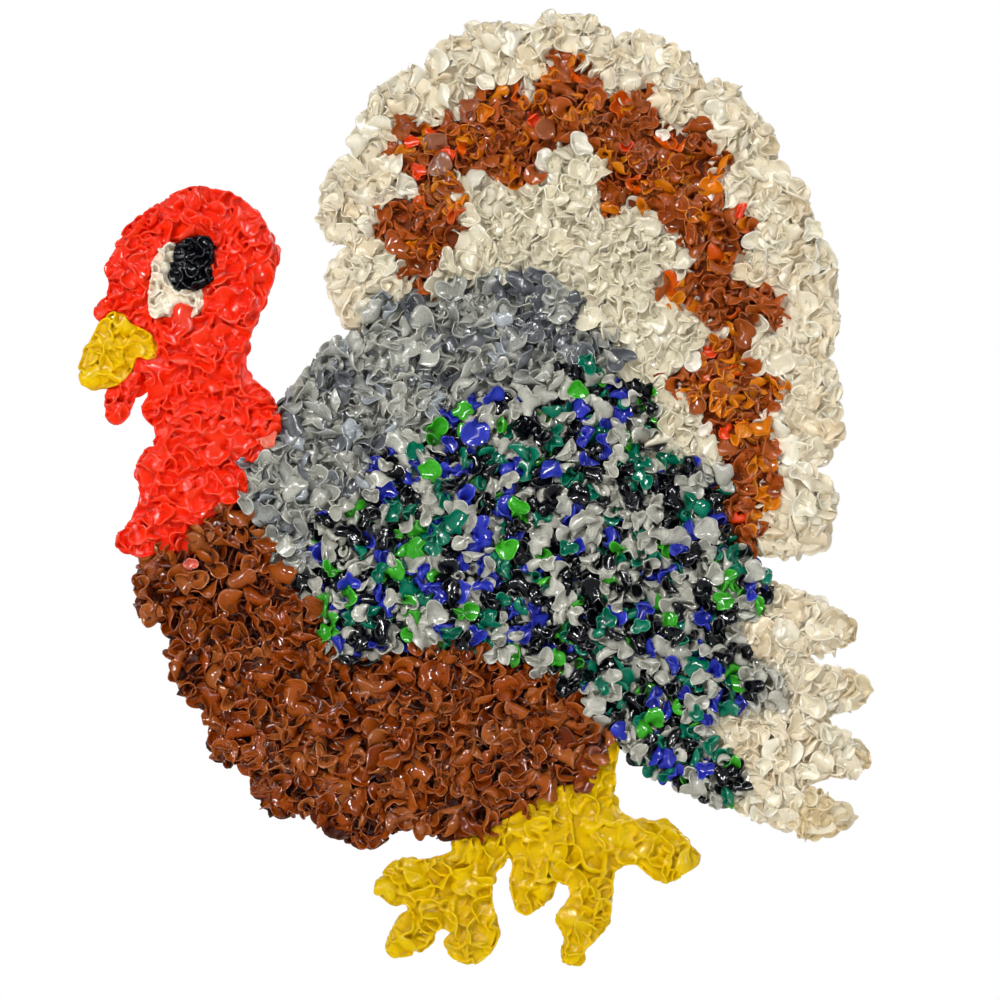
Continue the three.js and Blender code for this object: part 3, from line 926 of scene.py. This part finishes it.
# Roughness and gloss level, rim highlight, translucency with its colour and depth, and mottling of each
# plastic
PLASTICS = {
    "red_plastic": ((0.12, 0.07), RED_RIM_HIGHLIGHT, 0.6, (1, 0.2, 0.1), 2.2 * MM, 0.04),
    "yellow_plastic": ((0.11, 0.06), YELLOW_RIM_HIGHLIGHT, 0.3, (1, 0.7, 0.05), 2.0 * MM, 0.04),
    "cream_plastic": ((0.22, 0.12), PALE_RIM_HIGHLIGHT, 0.2, (1, 0.9, 0.7), 1.0 * MM, 0.04),
    "white_plastic": ((0.2, 0.13), PALE_RIM_HIGHLIGHT, 0.2, (1, 0.95, 0.8), 1.0 * MM, 0.04),
    "black_plastic": ((0.12, 0.09), BLACK_RIM_HIGHLIGHT, 0.0, (1, 1, 1), 1.0 * MM, 0.04),
    "brown_plastic": ((0.09, 0.09), BROWN_RIM_HIGHLIGHT, 0.1, (1, 0.35, 0.1), 1.2 * MM, 0.05),
    "amber_plastic": ((0.09, 0.08), BROWN_RIM_HIGHLIGHT, 0.3, (1, 0.4, 0.1), 2.0 * MM, 0.05),
    "grey_plastic": ((0.2, 0.14), GREY_RIM_HIGHLIGHT, 0.0, (1, 1, 1), 1.0 * MM, 0.12),
    "speckled_plastic": ((0.09, 0.16), SPECKLED_RIM_HIGHLIGHT, 0.0, (1, 1, 1), 1.0 * MM, 0.1),
    "orange_plastic": ((0.15, 0.14), RED_RIM_HIGHLIGHT, 0.3, (1, 0.3, 0.1), 2.0 * MM, 0.05),
    "pearl_plastic": ((0.2, 0.14), PALE_RIM_HIGHLIGHT, 0.5, (1, 0.9, 0.8), 2.0 * MM, 0.05),
    "pink_plastic": ((0.18, 0.14), RED_RIM_HIGHLIGHT, 0.5, (1, 0.5, 0.4), 2.0 * MM, 0.05),
    "teal_plastic": ((0.13, 0.14), SPECKLED_RIM_HIGHLIGHT, 0.0, (1, 1, 1), 1.0 * MM, 0.05),
}


def fill(tree, node, sockets):
    """Give each of these inputs of a node its value, or link it to an output."""
    for key, value in sockets.items():
        if isinstance(value, bpy.types.NodeSocket):
            tree.links.new(value, node.inputs[key])
        else:
            node.inputs[key].default_value = value


def node_of(tree, kind, sockets, operation=None):
    """The outputs of a new shader node with these inputs."""
    node = tree.nodes.new(f"ShaderNode{kind}")
    if operation:
        node.operation = operation
    fill(tree, node, sockets)
    return node.outputs


def product(tree, first, second):
    """Two numbers multiplied."""
    return node_of(tree, "Math", {0: first, 1: second}, "MULTIPLY")[0]


def scaled(tree, colour, factor):
    """A colour times a number."""
    return node_of(tree, "VectorMath", {0: colour, "Scale": factor}, "SCALE")["Vector"]


def corner_value(tree, name, output):
    """What the corners of a piece hold under a name."""
    node = tree.nodes.new("ShaderNodeAttribute")
    node.attribute_name = name
    return node.outputs[output]


def noise(tree, scale, roughness):
    """Cloudy noise in a piece's own space."""
    place = node_of(tree, "TexCoord", {})["Object"]
    sockets = {"Vector": place, "Scale": scale, "Detail": NOISE_DETAIL, "Roughness": roughness}
    return node_of(tree, "TexNoise", sockets)["Fac"]


def mapped(tree, source, span, least, most):
    """A value that goes from the least to the most while its source crosses a span."""
    sockets = {"Value": source, "From Min": span[0], "From Max": span[1], "To Min": least, "To Max": most}
    return node_of(tree, "MapRange", sockets)["Result"]


def chip_colour(tree, rim_highlight, mottle):
    """Each chip's own colour, mottled, with a painted highlight on its rim and here and there the painted
    shade of a dimple.
    """
    rim_highlight_share, rim_highlight_gain, rim_highlight_add = rim_highlight
    tint = corner_value(tree, "tint", "Color")
    cloud = noise(tree, CLOUD_SCALE, NOISE_ROUGHNESS)
    shade = mapped(tree, cloud, NOISE_SPAN, 1 - mottle, 1 + mottle)
    speck = noise(tree, SPECK_SCALE, SPECK_ROUGHNESS)
    fleck = mapped(tree, speck, SPECK_SPAN, 1 - FLECK_DARKER * mottle, 1 + FLECK_PALER * mottle)
    # The rim's painted highlight: the chip's colour times a gain, plus a pale part
    pale = node_of(tree, "VectorMath", {0: tint, 1: (rim_highlight_gain,) * 3, 2: rim_highlight_add}, "MULTIPLY_ADD")
    paler = tree.nodes.new("ShaderNodeMix")
    paler.data_type = "RGBA"
    fill(tree, paler, {
        "Factor": product(tree, corner_value(tree, "rim", "Fac"), rim_highlight_share),
        "A": scaled(tree, tint, product(tree, shade, fleck)),
        "B": pale["Vector"],
    })
    from_middle = corner_value(tree, "from_middle", "Fac")
    # Painted shade of a dimple: darker towards the middle of the chips that have one
    dimple_shade = mapped(tree, from_middle, DIMPLE_SPAN, DIMPLE_SHADE, 1.0)
    return scaled(tree, paler.outputs["Result"], dimple_shade)


def chip_plastic(name, gloss, rim_highlight, glow, glow_radius, glow_depth, mottle):
    """Melted plastic: coloured chip by chip, with soft uneven gloss and a little light in it."""
    material = bpy.data.materials.new(name)
    material.use_nodes = True
    tree = material.node_tree
    shader = tree.nodes["Principled BSDF"]
    roughness, shine = gloss
    grain = noise(tree, GRAIN_SCALE, NOISE_ROUGHNESS)
    bumps = {"Height": grain, "Strength": GRAIN_STRENGTH, "Distance": GRAIN_HEIGHT}
    fill(tree, shader, {
        "Base Color": chip_colour(tree, rim_highlight, mottle),
        "Roughness": mapped(tree, grain, NOISE_SPAN, *(roughness * share for share in GLOSS_SHARES)),
        "Normal": node_of(tree, "Bump", bumps)["Normal"],
        "IOR": PLASTIC_IOR,
        "Specular IOR Level": shine,
    })
    if glow:
        glows = {"Subsurface Weight": glow, "Subsurface Radius": glow_radius, "Subsurface Scale": glow_depth}
        fill(tree, shader, glows)
    return material


MATERIALS = {slot: chip_plastic(slot, *look) for slot, look in PLASTICS.items()}
UNDER_MATERIALS = {
    slot: chip_plastic(f"{slot}_under", UNDER_GLOSS, *look[1:])
    for slot, look in PLASTICS.items() if slot not in CREASE_SHADE_COLOURS or slot in PALE_SLOTS
}


# Fields of separate chips

def chips_of(layers, node):
    """The numbers of a node's chips in each layer."""
    return [np.array([i for i, name in enumerate(part.nodes) if name == node], int) for part in layers]


def split(layers, node):
    """Chips of a node, cut into groups that each stay under the most triangles."""
    chosen = chips_of(layers, node)
    spots = [part.sheets[keep].mean((1, 2)) for part, keep in zip(layers, chosen)]
    weights = np.repeat([2 * len(part.faces) for part in layers], [len(keep) for keep in chosen])
    groups = max(1, math.ceil(weights.sum() / MOST_TRIANGLES))
    spread = np.ptp(np.concatenate(spots), axis=0)
    axis = 0 if spread[0] > spread[2] else 2
    order = np.concatenate(spots)[:, axis]
    ranks = np.argsort(order)
    load = np.cumsum(weights[ranks]) / weights.sum()
    cuts = [np.searchsorted(load, (group + 1) / groups - SLACK_SHARE) for group in range(groups - 1)]
    limits = [order[ranks][cut_at] for cut_at in cuts]
    for low, high in zip([-math.inf, *limits], [*limits, math.inf]):
        yield [keep[(spot[:, axis] > low) & (spot[:, axis] <= high)] for keep, spot in zip(chosen, spots)]


def build_chips(node, kind, layers, slot, materials):
    """Separate chips of a node, in as many pieces as their triangles need."""
    for number, chosen in enumerate(split(layers, node)):
        piece = new_object(f"{node}_{kind}_{number + 1}", *merge(layers, chosen))
        dress(piece, node, materials[slot])


def build_field(nodes, layers, palettes, slot):
    """A field of separate chips: glossy ones over matte ones over a melted bed, for each node."""
    pale = slot in PALE_SLOTS
    # The bed takes the deepest palette's first colour, darkened for all but pale plastics: painted shade
    # between the chips
    shade = np.array(linear(*palettes[0][0][1])) * (1.0 if pale else BED_SHADE_SHARE)
    for node in nodes:
        build_chips(node, "under", layers[:2], slot, UNDER_MATERIALS)
        build_chips(node, "chips", layers[2:], slot, MATERIALS)
        bed = melted_bed(node, BED_INSET, BED_INSET, PALE_BED_DEPTH if pale else BED_DEPTH)
        count = len(bed.data.vertices)
        set_values(bed.data, {"tint": np.tile(shade, (count, 1)), "from_middle": np.ones(count)})
        dress(bed, node, UNDER_MATERIALS[slot])


# Fields whose chips have run together

def build_melted(nodes, layers, palettes, slot, depth, softness, voxel):
    """A field whose chips have run together: chips and bed fused into one soft skin."""
    for node in nodes:
        if layers[FUSED_LAYERS:]:
            build_chips(node, "chips", layers[FUSED_LAYERS:], slot, MATERIALS)
        fused = layers[:FUSED_LAYERS]
        chips = new_object(f"{node}_loose", *merge(fused, chips_of(fused, node)))
        bed = melted_bed(node, MELTED_BED_INSET, WALLED_BED_INSET, depth * MELTED_BED_SHARE)
        with bpy.context.temp_override(active_object=chips, selected_editable_objects=[chips, bed]):
            bpy.ops.object.join()
        corners, faces, normals, edges = read_skin(fuse(chips, voxel, softness))
        values = skin_values(corners, normals, edges, palettes[0], CREASE_SHADE_COLOURS[slot])
        for number, chosen in enumerate(cut(corners, faces)):
            used, again = np.unique(faces[chosen], return_inverse=True)
            picked = {key: value[used] for key, value in values.items()}
            piece = new_object(f"{node}_melted_{number + 1}", corners[used], again.reshape(-1, 4), picked)
            piece.data.normals_split_custom_set_from_vertices(normals[used].tolist())
            dress(piece, node, MATERIALS[slot])


def fuse(obj, voxel, softness):
    """The object's parts fused into one mesh and smoothed. The object itself goes."""
    remesh = obj.modifiers.new("fuse", "REMESH")
    remesh.mode = "VOXEL"
    remesh.voxel_size = voxel
    soften = obj.modifiers.new("soften", "SMOOTH")
    soften.factor = SOFTEN_FACTOR
    soften.iterations = softness
    skin = bpy.data.meshes.new_from_object(obj.evaluated_get(bpy.context.evaluated_depsgraph_get()))
    bpy.data.objects.remove(obj)
    return skin


def read(items, key, width, kind):
    """One value of every item of a mesh, a row for each."""
    values = np.zeros(len(items) * width, kind)
    items.foreach_get(key, values)
    return values.reshape(-1, width)


def read_skin(mesh):
    """Corners, faces, normals and edges of a fused skin, kept in front of the wall."""
    corners = read(mesh.vertices, "co", 3, np.float32)
    corners[:, 1] = np.minimum(corners[:, 1], 0)
    normals = read(mesh.vertex_normals, "vector", 3, np.float32)
    faces = read(mesh.loops, "vertex_index", 1, np.int32).reshape(-1, 4)
    edges = read(mesh.edges, "vertices", 2, np.int32)
    bpy.data.meshes.remove(mesh)
    return corners, faces, normals, edges


def cut(corners, faces):
    """Faces of a skin in groups along its longer side, each small enough for one piece."""
    middles = corners[faces].mean(1)
    spread = np.ptp(middles, axis=0)
    order = np.argsort(middles[:, 0 if spread[0] > spread[2] else 2], kind="stable")
    return np.array_split(order, math.ceil(2 * len(faces) / MOST_TRIANGLES))


def spread_along(edges, values, degree):
    """The mean of each corner's neighbours."""
    total = np.bincount(edges[:, 0], values[edges[:, 1]], len(values))
    total += np.bincount(edges[:, 1], values[edges[:, 0]], len(values))
    return total / degree


def skin_values(corners, normals, edges, palette, crease_shade_colour):
    """Colours of a fused skin: painted shade that deepens them in the creases, and a painted highlight that
    makes the ridges paler.
    """
    degree = np.maximum(np.bincount(edges.ravel(), minlength=len(corners)), 1)
    step = corners[edges[:, 1]] - corners[edges[:, 0]]
    bulge = np.bincount(edges[:, 0], -(step * normals[edges[:, 0]]).sum(1), len(corners))
    bulge += np.bincount(edges[:, 1], (step * normals[edges[:, 1]]).sum(1), len(corners))
    bulge /= degree
    for _ in range(BULGE_ROUNDS):
        bulge = (bulge + spread_along(edges, bulge, degree)) / 2
    even = corners[:, 1].astype(float)
    for _ in range(EVEN_ROUNDS):
        even = (1 - EVEN_SHARE) * even + EVEN_SHARE * spread_along(edges, even, degree)
    above = np.clip((even - corners[:, 1]) / EVEN_RELIEF, -1, 1)
    curved = np.clip(bulge / RIDGE_BULGE, -1, 1)
    ridge_highlight = RIDGE_SHARE * np.maximum(curved, 0) + (1 - RIDGE_SHARE) * np.maximum(above, 0)
    crease_shade = CREASE_SHARE * np.maximum(-curved, 0) + (1 - CREASE_SHARE) * np.maximum(-above, 0)
    colour = np.array(linear(*palette[0][1]))
    return {
        "tint": colour + crease_shade[:, None] * (np.array(linear(*crease_shade_colour)) - colour),
        "rim": ridge_highlight,
        "from_middle": np.ones(len(corners)),
    }


# The turkey

# Chips of each field, where they differ from the styles of the layers
STICK_OUT = (0.0 * MM, 1.5 * MM)
LEG_STICK_OUT = (0.0 * MM, 1.0 * MM)
DENSE = {"spacing": 7.3 * MM, "tilt": 0.95, "curl": 1.25}
BAND_CHIPS = {
    "radius": (6.0 * MM, 8.6 * MM), "spacing": 6.8 * MM, "tilt": 1.0, "curl": 1.35, "proud": 1.4 * MM,
}
WING_CHIPS = {"radius": (5.4 * MM, 7.8 * MM), "spacing": 5.7 * MM, "tilt": 0.95, "curl": 1.3}
PETALS = {
    "kinds": PETAL_SHARES, "radius": (7.0 * MM, 9.4 * MM), "thickness": 0.95 * MM, "tilt": 0.75,
    "curl": 1.15,
}
TIP_CHIPS = {**PETALS, "radius": (6.2 * MM, 8.6 * MM), "spacing": 6.8 * MM, "inset": (5.0 * MM, 6.2 * MM)}
EYE_CHIPS = {
    "kinds": PETAL_SHARES, "radius": (5.0 * MM, 6.8 * MM), "thickness": 1.3 * MM, "spacing": 5.4 * MM,
    "inset": (2.8 * MM, 3.8 * MM), "rank": FRONT, "held": STICK_OUT,
}
HEAD_CHIPS = {
    **PETALS, "radius": (7.0 * MM, 10.0 * MM), "thickness": 1.2 * MM, "spacing": 7.2 * MM, "tilt": 0.8,
    "inset": (4.4 * MM, 5.6 * MM), "held": STICK_OUT,
}
SNOOD_CHIPS = {
    **HEAD_CHIPS, "radius": (5.0 * MM, 6.8 * MM), "spacing": 5.4 * MM, "inset": (2.8 * MM, 3.8 * MM),
}
LEG_CHIPS = {
    **PETALS, "radius": (8.2 * MM, 11.0 * MM), "thickness": 1.3 * MM, "spacing": 7.4 * MM, "curl": 1.05,
    "tilt": 0.65, "inset": (5.0 * MM, 6.6 * MM), "rank": TUCKED, "held": LEG_STICK_OUT,
}
BEAK_CHIPS = {
    **LEG_CHIPS, "radius": (7.2 * MM, 9.4 * MM), "spacing": 6.6 * MM, "curl": 0.95, "tilt": 0.5,
    "inset": (4.0 * MM, 5.4 * MM), "rank": FRONT,
}

# Name, nodes, palettes from the back to the front, chips and slot of each field of separate chips
SCALLOPS = [f"tail_scallop_{number}" for number in range(1, 12)]
TIPS = [f"wing_tip_{number}" for number in range(1, 5)]
CHIP_FIELDS = [
    ("breast", ["breast"], [SHADED_DEEP_BROWNS, SHADED_MID_BROWNS, BROWNS], DENSE, "brown_plastic"),
    ("back", ["back"], [GREYS] * 3, DENSE, "grey_plastic"),
    ("wing", ["wing"], [SPECKLES] * 3, WING_CHIPS, "speckled_plastic"),
    ("band", ["tail_band"], [SHADED_DEEP_AMBERS, AMBERS, RUSSETS], BAND_CHIPS, "amber_plastic"),
    ("inner", ["tail_inner"], [WHITES] * 3, PETALS, "white_plastic"),
    ("rim", SCALLOPS, [CREAMS] * 3, PETALS, "cream_plastic"),
    ("tips", TIPS, [CREAMS] * 3, TIP_CHIPS, "cream_plastic"),
]

# The same for the melted fields, then their depth, rounds of smoothing and voxel size
MELTED_FIELDS = [
    ("head", ["head_and_neck"], [REDS] * 3, HEAD_CHIPS, "red_plastic", 9.0 * MM, 3, FUSE_VOXEL),
    ("snood", ["snood"], [REDS] * 3, SNOOD_CHIPS, "red_plastic", 9.0 * MM, 2, FUSE_VOXEL),
    ("beak", ["beak"], [BEAK_YELLOWS] * 3, BEAK_CHIPS, "yellow_plastic", 10.0 * MM, 3, FUSE_VOXEL),
    ("legs", ["right_leg", "left_leg"], [YELLOWS] * 3, LEG_CHIPS, "yellow_plastic", 8.0 * MM, 3, LEG_VOXEL),
    ("pupil", ["eye_pupil"], [BLACKS] * 3, EYE_CHIPS, "black_plastic", 10.0 * MM, 1, EYE_VOXEL),
    ("eye", ["eye_white"], [EYE_CREAMS] * 3, EYE_CHIPS, "cream_plastic", 10.0 * MM, 1, EYE_VOXEL),
]

# How the names of the odd chips start, their palette and slot
LONE_CHIPS = [
    ("orange_chip", ORANGES, "orange_plastic"),
    ("pearl_chip", PEARLS, "pearl_plastic"),
    ("pink_chip", PINKS, "pink_plastic"),
    ("smoke_chip", SMOKES, "grey_plastic"),
    ("silver_chip", SILVERS, "grey_plastic"),
    ("teal_chip", TEALS, "teal_plastic"),
]
LONE_STARTS = tuple(start for start, _, _ in LONE_CHIPS)

chip_layers = [field_layers(*field[:4]) for field in CHIP_FIELDS]
melted_layers = [field_layers(*field[:4]) for field in MELTED_FIELDS]
lone = [lone_layers(start, palette) for start, palette, _ in LONE_CHIPS]
settle([
    part for layers in chip_layers + melted_layers + [layers for _, layers in lone] for part in layers
])

for (_, nodes, palettes, _, slot), layers in zip(CHIP_FIELDS, chip_layers):
    build_field(nodes, layers, palettes, slot)
for (_, nodes, palettes, _, slot, *skin), layers in zip(MELTED_FIELDS, melted_layers):
    build_melted(nodes, layers, palettes, slot, *skin)
for (_, _, slot), (nodes, layers) in zip(LONE_CHIPS, lone):
    for index, node in enumerate(nodes):
        keep = np.array([index])
        piece = new_object(f"{node}_piece", *merge(layers, [keep, keep]))
        dress(piece, node, MATERIALS[slot])


# Stage, light and camera

FLOOR_REACH = 1.2
FLOOR_DROP = 0.75
FLOOR_PAINT = {"Base Color": (0.9, 0.9, 0.9, 1), "Roughness": 0.9}
WHITE = (1, 1, 1, 1)
SOFT_LIGHT = 0.17
LENS = 135
SENSOR_WIDTH = 36
CHIP_FRONT = 8 * MM
CLIP_START = 10 * MM

# Name, place, size and power of the lamps, which all face the turkey. Glints show only in reflections.
LAMPS = [
    ("key", (-1.0, -2.45, 1.4), 0.6, 44),
    ("top", (0.2, -1.5, 2.7), 0.6, 6),
    ("glint_1", (-1.2, -2.4, 1.5), 0.5, 150),
    ("glint_2", (1.0, -2.3, 1.7), 0.5, 150),
    ("glint_3", (-1.9, -1.7, 0.4), 0.5, 150),
    ("glint_4", (0.1, -2.2, 2.3), 0.5, 150),
    ("glint_5", (1.9, -1.8, 0.6), 0.5, 150),
    ("right", (1.6, -2.3, 0.3), 0.5, 12),
    ("left", (-1.7, -2.0, -0.3), 0.4, 10),
    ("low", (0.8, -2.5, -1.2), 0.4, 10),
    ("behind", (1.2, 2.4, 1.4), 0.6, 60),
]


def pale_floor():
    """A plain floor below the turkey."""
    work = bmesh.new()
    bmesh.ops.create_grid(work, x_segments=1, y_segments=1, size=FLOOR_REACH)
    mesh = bpy.data.meshes.new("floor")
    work.to_mesh(mesh)
    work.free()
    floor = add_object("floor", mesh)
    floor.location.z = -FLOOR_DROP
    material = bpy.data.materials.new("pale_floor")
    material.use_nodes = True
    tree = material.node_tree
    fill(tree, tree.nodes["Principled BSDF"], FLOOR_PAINT)
    mesh.materials.append(material)


def area_light(name, place, size, power):
    """A round lamp that faces the middle of the turkey."""
    data = bpy.data.lights.new(name, "AREA")
    data.shape = "DISK"
    data.size = size
    data.energy = power
    lamp = add_object(name, data)
    lamp.location = place
    lamp.rotation_euler = (-Vector(place)).to_track_quat("-Z", "Y").to_euler()
    lamp.visible_diffuse = not name.startswith("glint")


def world_light(strength):
    """White where the camera, a reflection or a refraction looks, and plain soft light elsewhere."""
    world = bpy.data.worlds.new("studio")
    world.use_nodes = True
    bpy.context.scene.world = world
    tree = world.node_tree
    tree.nodes.clear()
    rays = node_of(tree, "LightPath", {})
    seen = rays["Is Camera Ray"]
    for ray in ("Is Glossy Ray", "Is Transmission Ray"):
        seen = node_of(tree, "Math", {0: seen, 1: rays[ray]}, "MAXIMUM")[0]
    soft = node_of(tree, "Background", {"Color": WHITE, "Strength": strength})[0]
    white = node_of(tree, "Background", {"Color": WHITE, "Strength": 1})[0]
    mixed = node_of(tree, "MixShader", {"Fac": seen, 1: soft, 2: white})[0]
    node_of(tree, "OutputWorld", {"Surface": mixed})


def photo_camera():
    """A long lens square to the wall, with the photograph's frame at the chips' mean height."""
    data = bpy.data.cameras.new("camera")
    data.lens = LENS
    data.sensor_width = SENSOR_WIDTH
    data.clip_start = CLIP_START
    camera = add_object("camera", data)
    x, z = at(IMAGE_PIXELS / 2, IMAGE_PIXELS / 2)
    distance = IMAGE_PIXELS * PIXEL * LENS / SENSOR_WIDTH
    camera.location = (x, -distance - CHIP_FRONT, z)
    camera.rotation_euler = (math.pi / 2, 0, 0)
    bpy.context.scene.camera = camera


pale_floor()
for lamp in LAMPS:
    area_light(*lamp)
world_light(SOFT_LIGHT)
photo_camera()
bpy.context.scene.view_settings.view_transform = "Standard"
